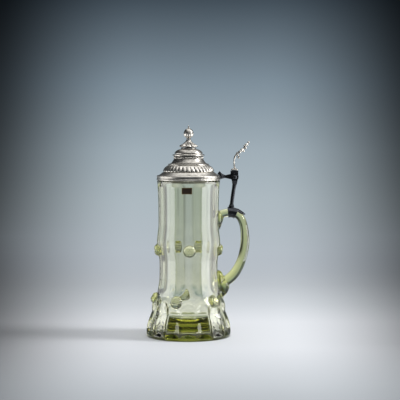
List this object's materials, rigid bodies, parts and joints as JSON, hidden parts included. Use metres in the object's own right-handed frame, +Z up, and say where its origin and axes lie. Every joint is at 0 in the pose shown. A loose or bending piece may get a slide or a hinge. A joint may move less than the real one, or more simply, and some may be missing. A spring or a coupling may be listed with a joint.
{
  "type": "lidded glass beer mug",
  "caption": "Panelled green glass beer mug on a fluted foot, with raspberry prunts, a glass loop handle and a hinged stepped pewter lid with a leafy thumblift.",
  "frame": {"origin": "centre of the flat base that the mug stands on, on the vessel's axis", "axes": "+Z up along the vessel's axis, +X towards the handle and hinge, +Y along the hinge pin"},
  "size_m": [0.1246, 0.102, 0.253],
  "materials": {
    "vessel_glass": "fire-polished forest glass, pale yellow-green, olive where thick",
    "applied_glass": "solid forest glass, yellow-green",
    "bright_pewter": "cast pewter, polished and handled, darker in the hollows",
    "dark_pewter": "cast pewter with a dark patina"
  },
  "bodies": {
    "mug": {"glass_vessel": "vessel_glass", "glass_handle": "applied_glass", "prunt_upper_1": "applied_glass", "prunt_upper_2": "applied_glass", "prunt_upper_3": "applied_glass", "prunt_upper_4": "applied_glass", "prunt_upper_5": "applied_glass", "prunt_lower_1": "applied_glass", "prunt_lower_2": "applied_glass", "prunt_lower_3": "applied_glass", "prunt_lower_4": "applied_glass", "prunt_lower_5": "applied_glass", "handle_collar": "dark_pewter", "hinge_post": "dark_pewter", "hinge_pin": "dark_pewter"},
    "lid": {"lid_rim": "bright_pewter", "lid_gadroon_dome": "bright_pewter", "lid_drum": "bright_pewter", "lid_crown": "bright_pewter", "finial_calyx": "bright_pewter", "finial_knob": "bright_pewter", "lid_hinge_block": "dark_pewter", "thumblift": "bright_pewter"}
  },
  "joints": [
    {"name": "lid_hinge", "type": "hinge", "parent": "mug", "child": "lid", "pos_m": [0.0552, 0, 0.191], "axis": [0, 1, 0], "range_deg": [0, 100]}
  ]
}
